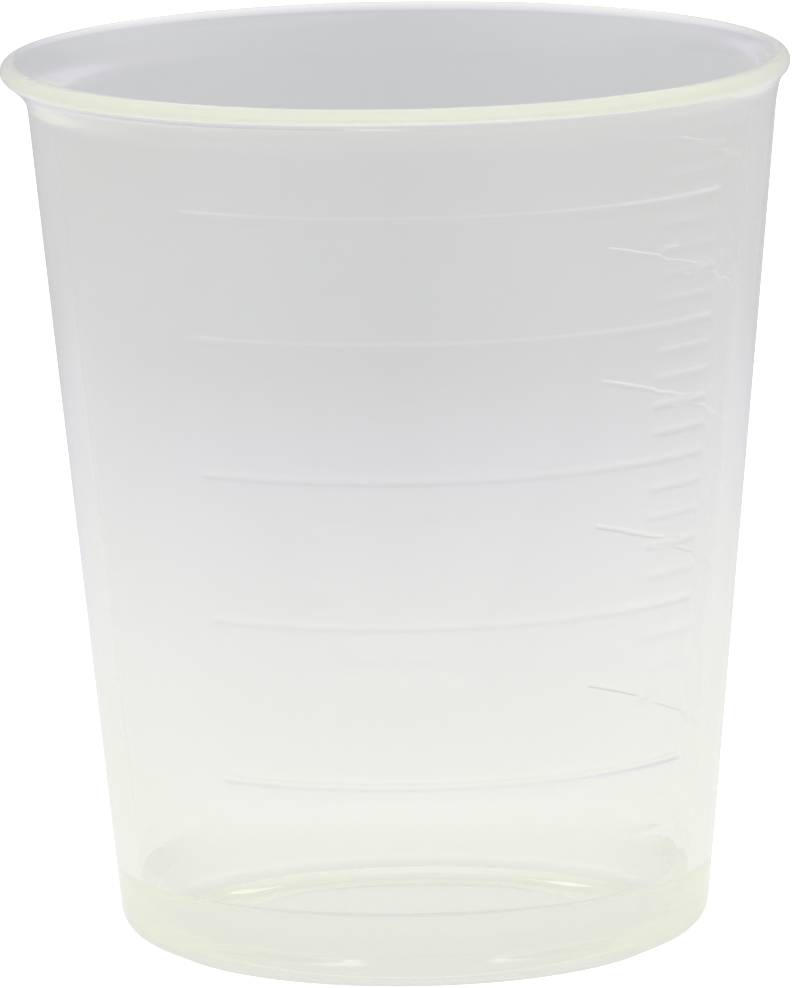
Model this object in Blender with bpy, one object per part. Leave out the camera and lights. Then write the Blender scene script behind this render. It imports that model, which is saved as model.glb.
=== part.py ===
"""Medicine cup, 30 ml, moulded in one piece in natural polypropylene.

The cup stands on the XY plane with its axis on Z, its mouth up and its scale
facing -Y. Lengths are in metres. The outside and inside are one turned
profile. The marks of the scale are low ridges on the inside of the wall, and
each lies at the height to which its volume fills the cup.
"""

import math

import bmesh
import bpy
import numpy as np

MM = 0.001
ML = 1e-6

# Body
HEIGHT = 43.0 * MM
BASE_DIAMETER = 28.12 * MM      # outside of the wall, carried down to the table
DRAFT = math.radians(5.44)      # lean of the wall, opening upwards
WALL = 1.1 * MM

# Lip
LIP_OVERHANG = 0.77 * MM        # how far the lip stands out past the wall
LIP_RADIUS = 0.5 * MM
FLARE_RADIUS = 2.7 * MM         # bend of the wall's middle line below the lip

# Foot
FOOT_INSET = 1.85 * MM          # from the wall's line at the table to the flat ring that it stands on
FOOT_WIDTH = 1.75 * MM
UNDERSIDE_ANGLE = math.radians(24.4)
CORNER_RADIUS = 1.55 * MM
RECESS_DEPTH = 0.3 * MM
RECESS_EDGE = 0.15 * MM         # slope of the recess's edge, measured along the radius
GATE_DIAMETER = 2.4 * MM        # round scar left by the moulding gate
GATE_HEIGHT = 0.1 * MM

# Inside of the base
FLOOR_THICKNESS = 0.5 * MM
SLOPE_HEIGHT = 3.0 * MM         # from the floor up to where the slope meets the wall
SLOPE_LEAN = math.radians(38)   # lean of the slope, measured from upright
SLOPE_EDGE = 0.4 * MM           # round between the slope and the wall
FLOOR_FILLET = 5.0 * MM         # round between the slope and the floor

# Scale, one mark for each millilitre, with azimuths in degrees from the front, -Y, towards +X
LONG_EVERY = 5                  # each fifth mark is a long one, and has another on the side
FRONT_END = 61.3                # right-hand end of the front's long and short marks
LONG_SWEEP = 100.4
SHORT_SWEEP = 15.5
SIDE_END = 140.2
SIDE_SWEEP = 56.0
MARK_WIDTH = 0.6 * MM
MARK_CREST = 0.24 * MM
MARK_HEIGHT = 0.08 * MM
MARK_ROOT = 0.3 * MM            # how deep a mark's solid reaches into the wall

# Facets
SEGMENTS = 72
LIP_FACETS = 8
FLARE_FACETS = 4
CORNER_FACETS = 4
EDGE_FACETS = 2
FILLET_FACETS = 4
SHARP_ANGLE = math.radians(30)

# Directions in the (radius, height) plane: up the wall, and out of it
ALONG = np.array([math.sin(DRAFT), math.cos(DRAFT)])
OUTWARD = np.array([math.cos(DRAFT), -math.sin(DRAFT)])
FLOOR_LEVEL = RECESS_DEPTH + FLOOR_THICKNESS


def outer_radius(height):
    """Radius of the wall's outside, a cone."""
    return BASE_DIAMETER / 2 + height * math.tan(DRAFT)


def inner_radius(height):
    """Radius of the wall's inside, the same cone moved in by the wall."""
    return outer_radius(height) - WALL / math.cos(DRAFT)


def arc(centre, radius, start, end, facets):
    """Points of an arc, both ends included, with angles from +radius to +height."""
    angles = np.linspace(start, end, facets + 1)
    return np.array(centre) + radius * np.stack([np.cos(angles), np.sin(angles)], axis=1)


def rounded(vertex, start, end, radius, facets):
    """Arc that rounds the corner between two faces, whose normals turn from start to end.

    The normals point out of the plastic, and a hollow corner's radius is negative.
    """
    middle = (start + end) / 2
    toward = np.array([math.cos(middle), math.sin(middle)])
    centre = np.array(vertex) - toward * radius / math.cos((end - start) / 2)
    return arc(centre, radius, start, end, facets)


def corner_arc():
    """Round between the sloping underside and the wall, from the foot upwards."""
    # The slope is radius = foot + height / tan(angle), and the wall is the cone
    height = FOOT_INSET / (1 / math.tan(UNDERSIDE_ANGLE) - math.tan(DRAFT))
    vertex = (outer_radius(height), height)
    return rounded(vertex, UNDERSIDE_ANGLE - math.pi / 2, -DRAFT, CORNER_RADIUS, CORNER_FACETS)


def lip_curves():
    """Outer flare, lip and inner flare, in one run from outside to inside.

    The wall's middle line bends outwards along an arc that ends at the centre
    of the round lip, and the thickness eases from the wall's to the lip's.
    """
    lip_centre = np.array([outer_radius(HEIGHT) + LIP_OVERHANG - LIP_RADIUS, HEIGHT - LIP_RADIUS])
    foot_of_middle = np.array([outer_radius(0), 0]) - OUTWARD * WALL / 2
    along = (lip_centre - foot_of_middle) @ ALONG
    across = (lip_centre - foot_of_middle) @ OUTWARD
    sweep = math.acos(1 - across / FLARE_RADIUS)
    angles = np.linspace(0, sweep, FLARE_FACETS + 1)[:, None]
    rise = along - FLARE_RADIUS * math.sin(sweep) + FLARE_RADIUS * np.sin(angles)
    middle = foot_of_middle + ALONG * rise + OUTWARD * FLARE_RADIUS * (1 - np.cos(angles))
    normal = OUTWARD * np.cos(angles) - ALONG * np.sin(angles)
    ease = angles / sweep
    half = WALL / 2 + (LIP_RADIUS - WALL / 2) * ease * ease * (3 - 2 * ease)
    start = -DRAFT - sweep
    lip = arc(lip_centre, LIP_RADIUS, start, start + math.pi, LIP_FACETS)
    return np.vstack([(middle + normal * half)[:-1], lip, (middle - normal * half)[-2::-1]])


def inner_slope():
    """Slope between the wall's inside and the floor, with its two rounds, from wall to floor."""
    top = FLOOR_LEVEL + SLOPE_HEIGHT
    foot = inner_radius(top) - SLOPE_HEIGHT * math.tan(SLOPE_LEAN)
    normal = math.pi - SLOPE_LEAN
    return np.vstack([
        rounded((inner_radius(top), top), math.pi - DRAFT, normal, -SLOPE_EDGE, EDGE_FACETS),
        rounded((foot, FLOOR_LEVEL), normal, math.pi / 2, -FLOOR_FILLET, FILLET_FACETS),
    ])


def cup_profile():
    """The whole section as (radius, height), from the underside's centre to the floor's."""
    foot_outer = BASE_DIAMETER / 2 - FOOT_INSET
    foot_inner = foot_outer - FOOT_WIDTH
    gate = GATE_DIAMETER / 2
    underside = [
        (0, RECESS_DEPTH - GATE_HEIGHT),
        (gate - GATE_HEIGHT, RECESS_DEPTH - GATE_HEIGHT),
        (gate, RECESS_DEPTH),
        (foot_inner - RECESS_EDGE, RECESS_DEPTH),
        (foot_inner, 0),
        (foot_outer, 0),
    ]
    return np.vstack([underside, corner_arc(), lip_curves(), inner_slope(), [(0, FLOOR_LEVEL)]])


def fill_heights(volumes):
    """Heights to which the given volumes fill the cup, by summing thin discs."""
    heights = np.linspace(FLOOR_LEVEL, HEIGHT, 2001)
    radii = inner_radius(heights)
    slope = inner_slope()[::-1]
    low = heights < slope[-1, 1]
    radii[low] = np.interp(heights[low], slope[:, 1], slope[:, 0])
    areas = math.pi * radii ** 2
    discs = (areas[1:] + areas[:-1]) / 2 * np.diff(heights)
    return np.interp(volumes, np.concatenate([[0], np.cumsum(discs)]), heights)


def mesh_object(name, form):
    """Turn a bmesh into an object in the scene."""
    mesh = bpy.data.meshes.new(name)
    form.to_mesh(mesh)
    form.free()
    obj = bpy.data.objects.new(name, mesh)
    bpy.context.scene.collection.objects.link(obj)
    return obj


def turned_solid(name, profile):
    """Spin an open profile that starts and ends on the Z axis into a closed solid."""
    form = bmesh.new()
    points = [form.verts.new((radius, 0, height)) for radius, height in profile]
    edges = [form.edges.new(pair) for pair in zip(points, points[1:])]
    bmesh.ops.spin(form, geom=points + edges, cent=(0, 0, 0), axis=(0, 0, 1),
                   angle=math.tau, steps=SEGMENTS, use_merge=True)
    bmesh.ops.remove_doubles(form, verts=form.verts, dist=1e-7)
    bmesh.ops.recalc_face_normals(form, faces=form.faces)
    return mesh_object(name, form)


def add_mark(form, height, end, sweep):
    """Add one ridge to the bmesh, at a height, sweeping back from its right-hand end."""
    # Section from the wall inwards: its root in the wall, its slopes and its crest
    root, crest = inner_radius(height) + MARK_ROOT, inner_radius(height) - MARK_HEIGHT
    # Each slope crosses the wall's inside at half the mark's width
    splay = (MARK_WIDTH - MARK_CREST) / 2 / MARK_HEIGHT
    reach = MARK_WIDTH / 2 + splay * MARK_ROOT
    section = np.array([(root, -reach), (root, reach), (crest, MARK_CREST / 2), (crest, -MARK_CREST / 2)])
    # The wall leans, so the lower side of the section lies further in
    section[:, 0] += section[:, 1] * math.tan(DRAFT)
    # Rings of the ridge fall midway between the facet edges of the wall, apart from its ends
    pitch = 360 / SEGMENTS
    middles = (np.arange(SEGMENTS) + 0.5) * pitch - 180
    between = (middles > end - sweep + pitch / 4) & (middles < end - pitch / 4)
    azimuths = np.radians([end - sweep, *middles[between], end])
    rings = []
    for azimuth in azimuths:
        toward = (math.sin(azimuth), -math.cos(azimuth))
        rings.append([form.verts.new((radius * toward[0], radius * toward[1], height + rise))
                      for radius, rise in section])
    for ring, following in zip(rings, rings[1:]):
        for corner in range(len(section)):
            after = (corner + 1) % len(section)
            form.faces.new((ring[corner], ring[after], following[after], following[corner]))
    form.faces.new(rings[0])
    form.faces.new(rings[-1])


def scale_marks():
    """All marks of the scale, as one object of separate ridges.

    They stand on the straight stretch of the wall, between the inner
    slope and the flare, so a cup of another size has more or fewer of them.
    """
    form = bmesh.new()
    lowest = inner_slope()[0, 1] + MARK_WIDTH
    highest = lip_curves()[-1, 1] - MARK_WIDTH
    around_cup = math.pi * outer_radius(HEIGHT) ** 2 * HEIGHT
    volumes = np.arange(1, round(around_cup / ML))
    for volume, height in zip(volumes, fill_heights(volumes * ML)):
        if not lowest < height < highest:
            continue
        if volume % LONG_EVERY:
            add_mark(form, height, FRONT_END, SHORT_SWEEP)
        else:
            add_mark(form, height, FRONT_END, LONG_SWEEP)
            add_mark(form, height, SIDE_END, SIDE_SWEEP)
    bmesh.ops.recalc_face_normals(form, faces=form.faces)
    return mesh_object("scale_marks", form)


def joined(body, addition):
    """Join a second object to a body as one solid, and remove the second object."""
    union = body.modifiers.new("union", "BOOLEAN")
    union.operation = "UNION"
    union.solver = "EXACT"
    union.object = addition
    result = body.evaluated_get(bpy.context.evaluated_depsgraph_get())
    body.data = bpy.data.meshes.new_from_object(result)
    body.modifiers.remove(union)
    bpy.data.objects.remove(addition, do_unlink=True)
    return body


def natural_polypropylene():
    """Milky, nearly colourless plastic with a soft moulded gloss."""
    material = bpy.data.materials.new("natural_polypropylene")
    material.use_nodes = True
    shader = material.node_tree.nodes["Principled BSDF"]
    shader.inputs["Base Color"].default_value = (0.72, 0.73, 0.71, 1)
    shader.inputs["Roughness"].default_value = 0.25
    shader.inputs["Metallic"].default_value = 0
    shader.inputs["IOR"].default_value = 1.49
    shader.inputs["Transmission Weight"].default_value = 0.6
    return material


def medicine_cup():
    """The cup: its turned body, joined with the marks of its scale."""
    cup = joined(turned_solid("medicine_cup", cup_profile()), scale_marks())
    cup.data.materials.clear()
    cup.data.materials.append(natural_polypropylene())
    cup.data.shade_smooth()
    cup.data.set_sharp_from_angle(angle=SHARP_ANGLE)
    return cup


for old in list(bpy.data.objects):
    bpy.data.objects.remove(old, do_unlink=True)
medicine_cup()
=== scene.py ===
import math

import bpy
import numpy as np
from mathutils import Matrix, Vector


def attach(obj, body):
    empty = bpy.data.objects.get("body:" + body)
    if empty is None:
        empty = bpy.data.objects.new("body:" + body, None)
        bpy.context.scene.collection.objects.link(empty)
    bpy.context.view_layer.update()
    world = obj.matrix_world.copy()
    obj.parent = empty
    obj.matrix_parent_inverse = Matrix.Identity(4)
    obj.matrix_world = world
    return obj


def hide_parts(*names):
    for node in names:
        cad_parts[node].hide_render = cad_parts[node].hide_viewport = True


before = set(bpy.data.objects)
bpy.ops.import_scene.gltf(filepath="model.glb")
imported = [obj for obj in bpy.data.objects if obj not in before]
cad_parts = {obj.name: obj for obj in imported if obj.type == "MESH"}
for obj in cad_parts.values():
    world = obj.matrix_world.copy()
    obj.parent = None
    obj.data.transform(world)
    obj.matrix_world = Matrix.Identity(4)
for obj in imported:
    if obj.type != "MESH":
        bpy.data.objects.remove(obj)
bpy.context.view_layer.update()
millimetre = 0.001
millilitre = 1000.0             # in cubic millimetres
print("frame loaded")


# An sRGB hex colour as the linear colour that a shader reads
def linearColour(hexColour):
    channels = np.array([int(hexColour[i:i + 2], 16) for i in (1, 3, 5)]) / 255
    linear = np.where(channels <= 0.04045, channels / 12.92, ((channels + 0.055) / 1.055) ** 2.4)
    return (*(float(c) for c in linear), 1.0)


# Adds one node, sets its properties and its sockets, and links what feeds it
def addNode(tree, kind, settings=None, values=None, links=None):
    node = tree.nodes.new(kind)
    for name, value in (settings or {}).items():
        setattr(node, name, value)
    for socket, value in (values or {}).items():
        node.inputs[socket].default_value = value
    for socket, source in (links or {}).items():
        tree.links.new(source, node.inputs[socket])
    return node


# Colours that change evenly between stops, each a pair of distance in metres and hex colour
def tonesByDistance(tree, distance, stops):
    farthest = stops[-1][0]
    share = addNode(tree, "ShaderNodeMath", {"operation": "DIVIDE", "use_clamp": True},
                    values={1: farthest}, links={0: distance})
    ramp = addNode(tree, "ShaderNodeValToRGB", links={"Fac": share.outputs[0]})
    elements = ramp.color_ramp.elements
    for stop in stops[1:-1]:
        elements.new(stop[0] / farthest)
    for element, stop in zip(elements, stops):
        element.position = stop[0] / farthest
        element.color = linearColour(stop[1])
    return ramp


# A new material or world tree with nothing in it
def emptyTree(owner):
    owner.use_nodes = True
    owner.node_tree.nodes.clear()
    return owner.node_tree


# The cup is one turned surface, with its scale raised on the inside of the wall. Lengths are in
# millimetres and angles in degrees.
cup = {
    "height": 43.0,
    "baseDiameter": 28.12,      # the wall's outside, carried down to the table
    "draft": 5.44,              # lean of the wall
    "wall": 1.1,
    "lipOverhang": 0.77,        # how far the lip stands out past the wall
    "lipRadius": 0.5,
    "flareRadius": 2.7,         # bend of the wall's middle line below the lip
    "footInset": 1.85,          # from the wall's line at the table to the flat foot ring
    "footWidth": 1.75,
    "undersideAngle": 24.4,     # rise of the underside from the foot ring to the corner
    "cornerRadius": 1.55,
    "recessDepth": 0.3,
    "recessEdge": 0.15,
    "gateDiameter": 2.4,
    "gateHeight": 0.1,
    "gateEdge": 0.1,
    "floorThickness": 0.5,
    "slopeHeight": 3.0,         # from the floor up to where the slope meets the wall
    "slopeLean": 38.0,          # lean of the slope, measured from upright
    "slopeEdge": 0.4,
    "floorFillet": 5.0,
    "lipShift": -0.31,          # the lip sits a little to the left of the wall's axis
    "lipShiftFrom": 40.9,
    "lipShiftTo": 42.4,
}

# How closely the cup's grid follows its profile: numbers of rows, and distances in millimetres
fineness = {
    "columns": 150,
    "columnGap": 0.3,           # degrees that an even column keeps from the fine ones at a mark's end
    "scarRadii": (0.4, 0.8),    # rows inside the gate's scar
    "scarEdgeRows": 5,
    "recessRows": 6,
    "recessFromScar": 0.4,
    "recessFromEdge": 0.3,
    "recessEdgeRows": 6,
    "ringFromInner": (0.15,),   # rows on the foot ring, from its inner and its outer edge
    "ringFromOuter": (0.25, 0.1),
    "footEdge": (0.02, 0.004),  # eases the ring's outer edge outwards and upwards
    "slopeShares": (0.0, 0.08, 0.3, 0.7, 0.95),
    "cornerRows": 14,
    "outsideRows": 26,
    "flareRows": 16,
    "lipRows": 28,
    "slopeEdgeRows": 7,
    "filletRows": 16,
    "floorRows": 9,
    "aboveSlope": 0.08,
    "besideMarks": 0.35,
    "endRows": 3,               # rows from the outer marks to the slope and to the flare
    "volumeSteps": 4001,
}

# The scale. Azimuths are in degrees from the front, -Y, towards +X, and lengths in millimetres.
marks = {
    "longEvery": 5,
    "frontEnd": 61.3,
    "longSweep": 100.4,
    "shortSweep": 15.5,
    "sideEnd": 140.2,
    "sideSweep": 56.0,
    "width": 0.6,
    "crest": 0.06,              # width of a mark's level top
    "longHeights": (0.04, 0.014, 0.0095, 0.0125, 0.029),    # from the lowest long mark up
    "shortHeight": 0.01,
    "sideWidth": 0.24,          # the marks on the side are narrower
    "sideCrest": 0.16,
    "sideHeight": 0.03,
    # Rows of the grid above and below a mark's middle, and its columns about a mark's end in degrees
    "rows": (-0.31, -0.24, -0.16, -0.12, -0.08, -0.04, 0.0, 0.04, 0.08, 0.12, 0.16, 0.24, 0.31),
    "endColumns": (0.1, 0.0, -0.12, -0.27, -0.45, -0.65, -0.85, -1.1),
}

draft = math.radians(cup["draft"])
along = np.array([math.sin(draft), math.cos(draft)])        # up the wall, as (radius, height)
outward = np.array([math.cos(draft), -math.sin(draft)])     # out of the wall
floorLevel = cup["recessDepth"] + cup["floorThickness"]


# Radius of the outside: that at the table plus the height times the draft's tangent
def outerRadius(height):
    return cup["baseDiameter"] / 2 + height * math.tan(draft)


# Radius of the inside: the same cone moved in by the wall
def innerRadius(height):
    return outerRadius(height) - cup["wall"] / math.cos(draft)


# 0 before the start, 1 after the end and 3t^2 - 2t^3 between them
def smoothStep(value, start, end):
    t = np.clip((value - start) / (end - start), 0, 1)
    return t * t * (3 - 2 * t)


# Points of an arc: centre plus radius times (cosine, sine) of evenly spaced angles
def arcPoints(centre, radius, start, end, count):
    angles = np.linspace(start, end, count)
    return np.array(centre) + radius * np.stack([np.cos(angles), np.sin(angles)], axis=1)


# Arc that rounds the corner between two faces, whose normals turn from start to end and point out
# of the plastic; a hollow corner's radius is negative
def rounded(vertex, start, end, radius, count):
    middle = (start + end) / 2
    toward = np.array([math.cos(middle), math.sin(middle)])
    centre = np.array(vertex) - toward * radius / math.cos((end - start) / 2)
    return arcPoints(centre, radius, start, end, count)


# Underside from the centre outwards: the recess, less the gate's scar at its centre, dropping
# smoothly to the flat foot ring, then the sloping edge and the arc that turns it into the wall
def undersideRows():
    footOuter = cup["baseDiameter"] / 2 - cup["footInset"]
    footInner = footOuter - cup["footWidth"]
    gate = cup["gateDiameter"] / 2
    step = footInner - cup["recessEdge"]
    radii = np.concatenate([
        fineness["scarRadii"],
        np.linspace(gate - cup["gateEdge"], gate, fineness["scarEdgeRows"]),
        np.linspace(gate + fineness["recessFromScar"], step - fineness["recessFromEdge"],
                    fineness["recessRows"]),
        np.linspace(step, footInner, fineness["recessEdgeRows"]),
        footInner + np.array(fineness["ringFromInner"]),
        footOuter - np.array(fineness["ringFromOuter"]),
    ])
    scar = cup["gateHeight"] * (1 - smoothStep(radii, gate - cup["gateEdge"], gate))
    ring = cup["recessDepth"] * smoothStep(radii, step, footInner)
    flat = np.stack([radii, cup["recessDepth"] - scar - ring], axis=1)
    angle = math.radians(cup["undersideAngle"])
    height = cup["footInset"] / (1 / math.tan(angle) - math.tan(draft))
    corner = rounded((outerRadius(height), height), angle - math.pi / 2, -draft, cup["cornerRadius"],
                     fineness["cornerRows"])
    edge = np.array([footOuter, 0.0])
    slope = edge + np.array(fineness["slopeShares"])[:, None] * (corner[0] - edge)
    slope[0] += fineness["footEdge"]
    return np.vstack([flat, slope[:-1], corner])


# Outer flare, lip and inner flare in one run: the wall's middle line bends outwards along an arc
# that ends at the lip's centre, and half the thickness eases from the wall's to the lip's radius
def lipRows():
    lipCentre = np.array([outerRadius(cup["height"]) + cup["lipOverhang"] - cup["lipRadius"],
                          cup["height"] - cup["lipRadius"]])
    footOfMiddle = np.array([outerRadius(0), 0]) - outward * cup["wall"] / 2
    rise = (lipCentre - footOfMiddle) @ along
    across = (lipCentre - footOfMiddle) @ outward
    sweep = math.acos(1 - across / cup["flareRadius"])
    angles = np.linspace(0, sweep, fineness["flareRows"])[:, None]
    height = rise - cup["flareRadius"] * (math.sin(sweep) - np.sin(angles))
    middle = footOfMiddle + along * height + outward * cup["flareRadius"] * (1 - np.cos(angles))
    normal = outward * np.cos(angles) - along * np.sin(angles)
    half = cup["wall"] / 2 + (cup["lipRadius"] - cup["wall"] / 2) * smoothStep(angles, 0, sweep)
    start = -draft - sweep
    lip = arcPoints(lipCentre, cup["lipRadius"], start, start + math.pi, fineness["lipRows"])
    return np.vstack([(middle + normal * half)[:-1], lip, (middle - normal * half)[-2::-1]])


# Slope between the inside of the wall and the floor, from wall to floor, with a round at each end
def slopeRows():
    top = floorLevel + cup["slopeHeight"]
    lean = math.radians(cup["slopeLean"])
    foot = innerRadius(top) - cup["slopeHeight"] * math.tan(lean)
    edge = rounded((innerRadius(top), top), math.pi - draft, math.pi - lean, -cup["slopeEdge"],
                   fineness["slopeEdgeRows"])
    fillet = rounded((foot, floorLevel), math.pi - lean, math.pi / 2, -cup["floorFillet"],
                     fineness["filletRows"])
    middle = (edge[-1] + fillet[0]) / 2
    return np.vstack([edge, middle, fillet])


# Heights to which whole millilitres fill the cup: the discs' areas, pi times radius squared, summed
# from the floor upwards
def fillHeights(inner):
    heights = np.linspace(floorLevel, cup["height"], fineness["volumeSteps"])
    radii = innerRadius(heights)
    low = heights < inner[0, 1]
    radii[low] = np.interp(heights[low], inner[::-1, 1], inner[::-1, 0])
    areas = math.pi * radii ** 2
    filled = np.concatenate([[0], np.cumsum((areas[1:] + areas[:-1]) / 2 * np.diff(heights))])
    volumes = np.arange(1, math.floor(filled[-1] / millilitre) + 1)
    return volumes, np.interp(volumes * millilitre, filled, heights)


# Height of the scale's ridges above the wall, for each row's height and each column's azimuth: a
# mark is a line with round ends, and its ridge falls smoothly with the distance from that line
def ridgeHeights(heights, azimuths, volumes, levels):
    radius = innerRadius(heights)[:, None]
    ridge = np.zeros((len(heights), len(azimuths)))

    def addMark(level, end, sweep, width, crest, rise):
        middle = math.radians(end - sweep / 2)
        around = radius * np.abs((azimuths - middle + math.pi) % math.tau - math.pi)
        reach = radius * math.radians(sweep / 2) - width / 2
        up = (heights[:, None] - level) / math.cos(draft)
        distance = np.hypot(up, np.maximum(around - reach, 0))
        mark = rise * (1 - smoothStep(distance, crest / 2, width / 2))
        np.maximum(ridge, mark, out=ridge)

    for volume, level in zip(volumes, levels):
        if volume % marks["longEvery"] == 0:
            height = marks["longHeights"][volume // marks["longEvery"] - 1]
            addMark(level, marks["frontEnd"], marks["longSweep"], marks["width"], marks["crest"], height)
            addMark(level, marks["sideEnd"], marks["sideSweep"], marks["sideWidth"], marks["sideCrest"],
                    marks["sideHeight"])
        else:
            addMark(level, marks["frontEnd"], marks["shortSweep"], marks["width"], marks["crest"],
                    marks["shortHeight"])
    return ridge


# Closed surface over a grid of points whose columns go round the axis, with a point at each end
def closedSurface(name, grid, firstPole, lastPole):
    rows, columns = grid.shape[:2]
    points = np.vstack([grid.reshape(-1, 3), firstPole, lastPole]) * millimetre
    index = np.arange(rows * columns).reshape(rows, columns)
    after = np.roll(index, -1, axis=1)
    quads = np.stack([index[:-1], after[:-1], after[1:], index[1:]], axis=-1).reshape(-1, 4)
    first = np.stack([np.full(columns, rows * columns), after[0], index[0]], axis=-1)
    last = np.stack([index[-1], after[-1], np.full(columns, rows * columns + 1)], axis=-1)
    corners = np.concatenate([quads.ravel(), first.ravel(), last.ravel()])
    sizes = np.concatenate([np.full(len(quads), 4), np.full(2 * columns, 3)])
    mesh = bpy.data.meshes.new(name)
    mesh.vertices.add(len(points))
    mesh.loops.add(len(corners))
    mesh.polygons.add(len(sizes))
    mesh.vertices.foreach_set("co", points.astype(np.float32).ravel())
    mesh.loops.foreach_set("vertex_index", corners.astype(np.int32))
    mesh.polygons.foreach_set("loop_start", (np.cumsum(sizes) - sizes).astype(np.int32))
    mesh.update(calc_edges=True)
    mesh.validate()
    mesh.shade_smooth()
    piece = bpy.data.objects.new(name, mesh)
    bpy.context.scene.collection.objects.link(piece)
    return piece


# The profile turned about the axis: radius times (sine, -cosine) of each column's azimuth, with the
# ridges taken off the radius and the lip shifted sideways
def makeCup():
    lip = lipRows()
    inner = slopeRows()
    underside = undersideRows()
    volumes, levels = fillHeights(inner)
    room = (levels > inner[0, 1] + marks["width"]) & (levels < lip[-1, 1] - marks["width"])
    volumes, levels = volumes[room], levels[room]

    # Inside of the wall, from the flare down: rows across each mark, and some between them
    dense = (levels[:, None] + np.array(marks["rows"])).ravel()
    between = (levels[1:] + levels[:-1]) / 2
    low = np.linspace(inner[0, 1], levels[0] - fineness["besideMarks"], fineness["endRows"])
    high = np.linspace(levels[-1] + fineness["besideMarks"], lip[-1, 1], fineness["endRows"])
    ends = np.concatenate([[inner[0, 1] + fineness["aboveSlope"]], low[1:], high[1:-1]])
    heights = np.sort(np.concatenate([dense, between, ends]))[::-1]
    inside = np.stack([innerRadius(heights), heights], axis=1)

    outsideHeights = np.linspace(underside[-1, 1], lip[0, 1], fineness["outsideRows"])[1:-1]
    outside = np.stack([outerRadius(outsideHeights), outsideHeights], axis=1)
    floorRadii = np.linspace(inner[-1, 0], 0, fineness["floorRows"])[1:-1]
    floor = np.stack([floorRadii, np.full_like(floorRadii, floorLevel)], axis=1)
    profile = np.vstack([underside, outside, lip, inside, inner, floor])

    # Even columns, and more of them where a mark ends
    even = np.arange(fineness["columns"]) * 360 / fineness["columns"] - 180
    near = np.array(marks["endColumns"])
    starts = [marks["frontEnd"] - marks["longSweep"], marks["frontEnd"] - marks["shortSweep"],
              marks["sideEnd"] - marks["sideSweep"]]
    fine = np.concatenate([*(start - near for start in starts),
                           marks["frontEnd"] + near, marks["sideEnd"] + near])
    clear = np.abs(even[:, None] - fine).min(axis=1) > fineness["columnGap"]
    azimuths = np.radians(np.sort(np.concatenate([even[clear], fine])))

    ridge = np.zeros((len(profile), len(azimuths)))
    first = len(underside) + len(outside) + len(lip)
    ridge[first:first + len(inside)] = ridgeHeights(heights, azimuths, volumes, levels)
    radius = profile[:, :1] - ridge * outward[0]
    height = profile[:, 1:] - ridge * outward[1]
    shift = cup["lipShift"] * smoothStep(height, cup["lipShiftFrom"], cup["lipShiftTo"])
    grid = np.stack([radius * np.sin(azimuths) + shift, -radius * np.cos(azimuths), height], axis=-1)
    bottom = cup["recessDepth"] - cup["gateHeight"]
    piece = closedSurface("cup", grid, (0, 0, bottom), (0, 0, floorLevel))
    print("cup made, with", len(volumes), "volumes marked and", len(piece.data.polygons), "faces")
    return piece


# Natural polypropylene, injection moulded in a polished steel mould. Uncoloured, it is a clear
# plastic full of tiny crystals: thin walls let the background through with a little haze, and thick
# places such as the lip turn milky and slightly cream.
polypropylene = {
    "ior": 1.49,
    "roughness": 0.0,
    "tint": "#ffffff",
    "transmission": 1.0,
    "scatterColour": "#fffff6",
    "scatterPerMetre": 210.0,
    "anisotropy": 0.3,
    "absorbColour": "#fbffd0",
    "absorbPerMetre": 26.0,
    "skinLength": 3.846,        # millimetres from one rise of the skin to the next
    "skinDepth": 0.03,          # millimetres, before the strength
    "skinDetail": 2.0,
    "skinStrength": 0.15,
}


# A clear, glossy surface around a body that scatters a little light and takes a little blue from it
def makePolypropylene():
    material = bpy.data.materials.new("naturalMouldedPolypropylene")
    tree = emptyTree(material)
    place = addNode(tree, "ShaderNodeTexCoord")
    # The moulded skin isn't quite even: faint rises a few millimetres long and some micrometres deep
    flow = addNode(tree, "ShaderNodeTexNoise",
                   values={"Scale": 1 / (polypropylene["skinLength"] * millimetre),
                           "Detail": polypropylene["skinDetail"]},
                   links={"Vector": place.outputs["Object"]})
    skin = addNode(tree, "ShaderNodeBump",
                   values={"Strength": polypropylene["skinStrength"],
                           "Distance": polypropylene["skinDepth"] * millimetre},
                   links={"Height": flow.outputs["Fac"]})
    surface = addNode(
        tree, "ShaderNodeBsdfPrincipled",
        values={
            "Base Color": linearColour(polypropylene["tint"]),
            "IOR": polypropylene["ior"],
            "Roughness": polypropylene["roughness"],
            "Transmission Weight": polypropylene["transmission"],
        },
        links={"Normal": skin.outputs["Normal"]})
    inside = addNode(
        tree, "ShaderNodeVolumeScatter",
        values={
            "Color": linearColour(polypropylene["scatterColour"]),
            "Density": polypropylene["scatterPerMetre"],
            "Anisotropy": polypropylene["anisotropy"],
        })
    tint = addNode(tree, "ShaderNodeVolumeAbsorption",
                   values={"Color": linearColour(polypropylene["absorbColour"]),
                           "Density": polypropylene["absorbPerMetre"]})
    body = addNode(tree, "ShaderNodeAddShader", links={0: inside.outputs[0], 1: tint.outputs[0]})
    addNode(tree, "ShaderNodeOutputMaterial",
            links={"Surface": surface.outputs["BSDF"], "Volume": body.outputs[0]})
    return material


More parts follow.
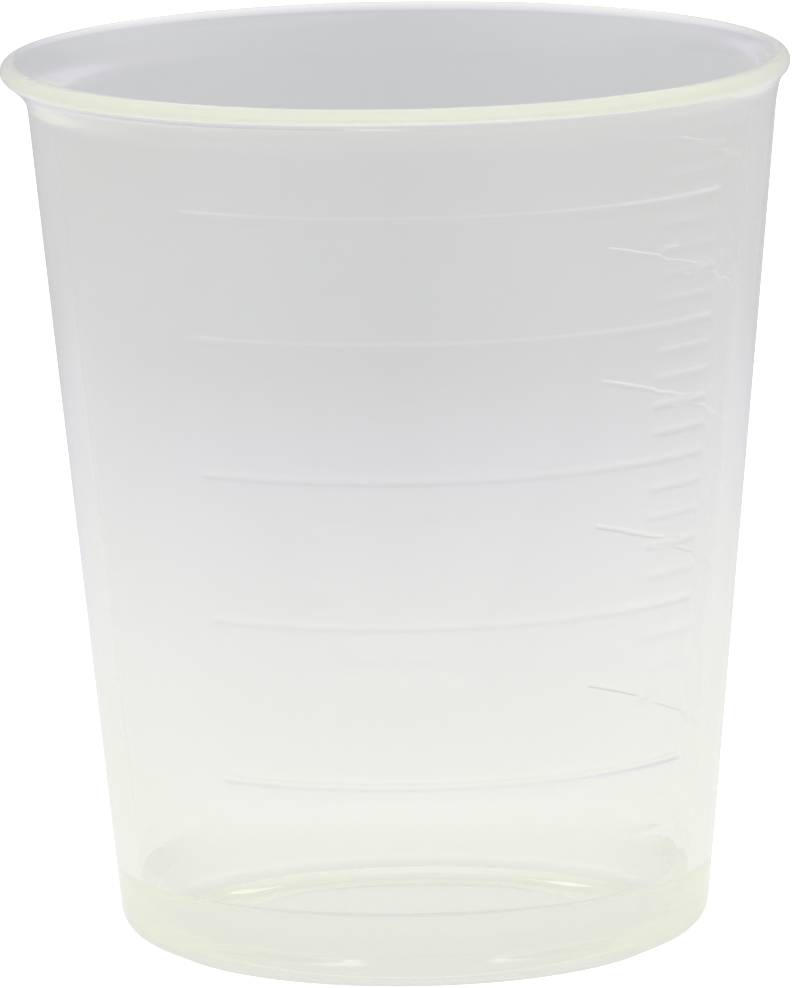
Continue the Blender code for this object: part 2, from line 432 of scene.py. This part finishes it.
# White paper lit by a soft tent. The tones are painted shade: the glow of the paper as seen through the
# cup, darkening away from it; each has its distance from the cup's axis in metres.
studio = {
    "floorRadius": 3.0,
    "floorDrop": 0.00002,       # metres below the foot, so that the two don't share a plane
    "paper": "#d8d8d8",
    "paperGlow": 0.75,          # makes the paper white to the camera
    # Painted shade: the paper's glow seen through the cup darkens away from the cup
    "paintedFalloffTones": ((0.0, "#fafaf7"), (0.045, "#f5f5f4"), (0.075, "#f1f0f6"), (0.13, "#dad9e7"),
                   (0.165, "#c8c7d3"), (0.25, "#c0c1c8")),
    # Painted shadow of the cup on the paper behind it, as shares of the glow by distance
    "paintedShadowTones": ((0.0, "#ffffff"), (0.03, "#ffffff"), (0.09, "#f5f5f5"), (0.17, "#f2f2f3"),
                    (0.25, "#f7f7f8")),
    "shadowMiddle": -0.001,     # metres to the right of the axis
    "shadowEdge": 0.022,        # half the shadow's width in metres
    # Painted shade under the cup: the paper's glow is dimmed there
    "paintedShadeUnderCup": 0.765,          # share of the light that reaches the paper under the cup
    "underFrom": 0.0105,
    "underTo": 0.02,
    # The tent is brightest towards the light, and dims below and behind
    "skyStrength": 1.1,
    "lightFrom": (0.0, -0.4, 0.9),
    "dimBelow": -0.1,
    "fullAbove": 0.6,
    "dimSky": "#bcbdc4",
    # Lamps that shine through the tent: azimuth from the front towards +X, elevation, half the width
    # and half the height in degrees, and strength
    "lamps": (
        (-173.0, 32.0, 2.0, 2.0, 2.4),
        (171.5, 31.0, 2.0, 2.0, 2.0),
    ),
    "lampEdge": 0.6,
    "lampColour": "#fff2dc",
}


# A flat square of paper, white to the camera; to rays that come through the cup it glows with painted
# shade that darkens with distance, a painted shadow behind the cup and painted shade under it
def makeFloor():
    size = studio["floorRadius"]
    corners = np.array([(-size, -size, 0), (size, -size, 0), (size, size, 0), (-size, size, 0)])
    corners[:, 2] = -studio["floorDrop"]
    mesh = bpy.data.meshes.new("floor")
    mesh.from_pydata(corners.tolist(), [], [(0, 1, 2, 3)])
    floor = bpy.data.objects.new("floor", mesh)
    bpy.context.scene.collection.objects.link(floor)
    material = bpy.data.materials.new("whitePaperPaintedShade")
    tree = emptyTree(material)
    place = addNode(tree, "ShaderNodeTexCoord")
    away = addNode(tree, "ShaderNodeVectorMath", {"operation": "LENGTH"},
                   links={0: place.outputs["Object"]})
    # Painted shade: the glow darkens with the distance from the cup, in place of the light's falloff
    shade = tonesByDistance(tree, away.outputs["Value"], studio["paintedFalloffTones"])
    ray = addNode(tree, "ShaderNodeLightPath")
    # Painted shade: little light comes under the cup, so the paper's glow is made darker there
    under = addNode(tree, "ShaderNodeMapRange", {"interpolation_type": "SMOOTHSTEP"},
                    values={"From Min": studio["underFrom"], "From Max": studio["underTo"],
                            "To Min": studio["paintedShadeUnderCup"], "To Max": 1.0},
                    links={"Value": away.outputs["Value"]})
    # Painted shadow: the cup's own soft shadow is painted into the paper's glow, running back from it,
    # darkest in its middle
    shadow = tonesByDistance(tree, away.outputs["Value"], studio["paintedShadowTones"])
    axes = addNode(tree, "ShaderNodeSeparateXYZ", links={0: place.outputs["Object"]})
    aside = addNode(tree, "ShaderNodeMath", {"operation": "SUBTRACT"},
                    values={1: studio["shadowMiddle"]}, links={0: axes.outputs["X"]})
    fromMiddle = addNode(tree, "ShaderNodeMath", {"operation": "ABSOLUTE"}, links={0: aside.outputs[0]})
    lit = addNode(tree, "ShaderNodeMapRange", {"interpolation_type": "SMOOTHSTEP"},
                  values={"From Max": studio["shadowEdge"]}, links={"Value": fromMiddle.outputs[0]})
    softened = addNode(tree, "ShaderNodeMix", {"data_type": "RGBA"}, values={7: (1, 1, 1, 1)},
                       links={0: lit.outputs["Result"], 6: shadow.outputs["Color"]})
    shaded = addNode(tree, "ShaderNodeMix", {"data_type": "RGBA", "blend_type": "MULTIPLY"},
                     values={0: 1.0}, links={6: shade.outputs["Color"], 7: softened.outputs[2]})
    glow = addNode(tree, "ShaderNodeEmission",
                   links={"Color": shaded.outputs[2], "Strength": under.outputs["Result"]})
    lift = addNode(tree, "ShaderNodeEmission", values={"Strength": studio["paperGlow"]})
    paper = addNode(tree, "ShaderNodeBsdfDiffuse",
                    values={"Color": linearColour(studio["paper"])})
    bright = addNode(tree, "ShaderNodeAddShader", links={0: lift.outputs[0], 1: paper.outputs[0]})
    tinted = addNode(tree, "ShaderNodeMath", {"operation": "MAXIMUM"},
                     links={0: ray.outputs["Is Glossy Ray"], 1: ray.outputs["Is Transmission Ray"]})
    unseen = addNode(tree, "ShaderNodeMixShader",
                     links={0: tinted.outputs[0], 1: paper.outputs[0], 2: glow.outputs[0]})
    shown = addNode(tree, "ShaderNodeMixShader",
                    links={0: ray.outputs["Is Camera Ray"], 1: unseen.outputs[0], 2: bright.outputs[0]})
    # The floor is seen from above only, so that a view from below shows the foot
    facing = addNode(tree, "ShaderNodeNewGeometry")
    clear = addNode(tree, "ShaderNodeBsdfTransparent")
    whole = addNode(tree, "ShaderNodeMixShader",
                    links={0: facing.outputs["Backfacing"], 1: shown.outputs[0], 2: clear.outputs[0]})
    addNode(tree, "ShaderNodeOutputMaterial", links={"Surface": whole.outputs[0]})
    # Light leaves the plastic by refraction, so no ray inside it is aimed at the paper or the tent
    material.cycles.emission_sampling = "NONE"
    mesh.materials.append(material)
    return floor


# The tent's light with one four-sided lamp added: full inside its half width and half height, which
# are sines of angles from its centre, and falling smoothly to nothing over the edge
def withLamp(tree, toward, light, azimuth, elevation, halfWidth, halfHeight, strength):
    around, up = math.radians(azimuth), math.radians(elevation)
    flat = (math.sin(around), -math.cos(around))
    centre = (flat[0] * math.cos(up), flat[1] * math.cos(up), math.sin(up))
    aside = (math.cos(around), math.sin(around), 0.0)
    above = (-flat[0] * math.sin(up), -flat[1] * math.sin(up), math.cos(up))
    facing = addNode(tree, "ShaderNodeVectorMath", {"operation": "DOT_PRODUCT"}, values={1: centre},
                     links={0: toward})
    shine = addNode(tree, "ShaderNodeMath", {"operation": "GREATER_THAN"}, values={1: 0.0},
                    links={0: facing.outputs["Value"]})
    for axis, half in ((aside, halfWidth), (above, halfHeight)):
        offset = addNode(tree, "ShaderNodeVectorMath", {"operation": "DOT_PRODUCT"}, values={1: axis},
                         links={0: toward})
        distance = addNode(tree, "ShaderNodeMath", {"operation": "ABSOLUTE"},
                           links={0: offset.outputs["Value"]})
        share = addNode(tree, "ShaderNodeMapRange", {"interpolation_type": "SMOOTHSTEP"},
                        values={"From Min": math.sin(math.radians(half)),
                                "From Max": math.sin(math.radians(half + studio["lampEdge"])),
                                "To Min": 1.0, "To Max": 0.0},
                        links={"Value": distance.outputs[0]})
        shine = addNode(tree, "ShaderNodeMath", {"operation": "MULTIPLY"},
                        links={0: shine.outputs[0], 1: share.outputs["Result"]})
    colour = Vector(linearColour(studio["lampColour"])[:3]) * strength
    glow = addNode(tree, "ShaderNodeVectorMath", {"operation": "SCALE"}, values={0: colour},
                   links={"Scale": shine.outputs[0]})
    both = addNode(tree, "ShaderNodeVectorMath", {"operation": "ADD"},
                   links={0: light, 1: glow.outputs[0]})
    return both.outputs[0]


# The tent's light rises smoothly with the cosine between a direction and the light's
def makeWorld():
    world = bpy.data.worlds.new("softTent")
    bpy.context.scene.world = world
    tree = emptyTree(world)
    ray = addNode(tree, "ShaderNodeLightPath")
    toward = addNode(tree, "ShaderNodeTexCoord")
    facing = addNode(tree, "ShaderNodeVectorMath", {"operation": "DOT_PRODUCT"},
                     values={1: studio["lightFrom"]}, links={0: toward.outputs["Generated"]})
    rise = addNode(tree, "ShaderNodeMapRange", {"interpolation_type": "SMOOTHSTEP"},
                   values={"From Min": studio["dimBelow"], "From Max": studio["fullAbove"]},
                   links={"Value": facing.outputs["Value"]})
    shade = addNode(tree, "ShaderNodeMix", {"data_type": "RGBA"},
                    values={6: linearColour(studio["dimSky"]), 7: (studio["skyStrength"],) * 3 + (1,)},
                    links={0: rise.outputs["Result"]})
    light = shade.outputs[2]
    for lamp in studio["lamps"]:
        light = withLamp(tree, toward.outputs["Generated"], light, *lamp)
    tent = addNode(tree, "ShaderNodeBackground", links={"Color": light})
    white = addNode(tree, "ShaderNodeBackground", values={"Color": (1, 1, 1, 1), "Strength": 1.0})
    shown = addNode(tree, "ShaderNodeMixShader",
                    links={0: ray.outputs["Is Camera Ray"], 1: tent.outputs[0], 2: white.outputs[0]})
    addNode(tree, "ShaderNodeOutputWorld", links={"Surface": shown.outputs[0]})
    world.cycles.sampling_method = "NONE"


# Lengths in millimetres and angles in degrees
camera = {
    "place": (0.0, -571.64, 123.67),
    "down": 10.125,
    "turn": -0.060,
    "roll": -0.950,
    "lens": 548.06,
    "sensor": 36.0,
    "nearest": 10.0,
    "farthest": 50000.0,
}


# The camera looks along forward, which is level with +Y turned by turn and tipped down, and is then
# rolled about that direction
def makeCamera():
    down, turn, roll = (math.radians(camera[key]) for key in ("down", "turn", "roll"))
    forward = Vector((math.sin(turn) * math.cos(down), math.cos(turn) * math.cos(down), -math.sin(down)))
    right = Vector((math.cos(turn), -math.sin(turn), 0))
    up = right.cross(forward)
    axisX = right * math.cos(roll) + up * math.sin(roll)
    axisY = up * math.cos(roll) - right * math.sin(roll)
    data = bpy.data.cameras.new("camera")
    data.sensor_fit = "HORIZONTAL"
    data.sensor_width = camera["sensor"]
    data.lens = camera["lens"]
    data.clip_start = camera["nearest"] * millimetre
    data.clip_end = camera["farthest"] * millimetre
    view = bpy.data.objects.new("camera", data)
    turned = Matrix((axisX, axisY, -forward)).transposed().to_4x4()
    view.matrix_world = Matrix.Translation(Vector(camera["place"]) * millimetre) @ turned
    bpy.context.scene.collection.objects.link(view)
    bpy.context.scene.camera = view


piece = makeCup()
piece.data.materials.append(makePolypropylene())
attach(piece, "root")
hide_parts("medicine_cup")
makeFloor()
makeWorld()
makeCamera()
print("studio made")

# Light turns many times inside the clear wall, and none of its paths is blurred
lightPaths = {
    "blur_glossy": 0.0,
    "glossy_bounces": 24,
    "volume_bounces": 24,
    "transmission_bounces": 24,
    "max_bounces": 32,
}
scene = bpy.context.scene
scene.view_settings.view_transform = "Standard"
for name, value in lightPaths.items():
    setattr(scene.cycles, name, value)
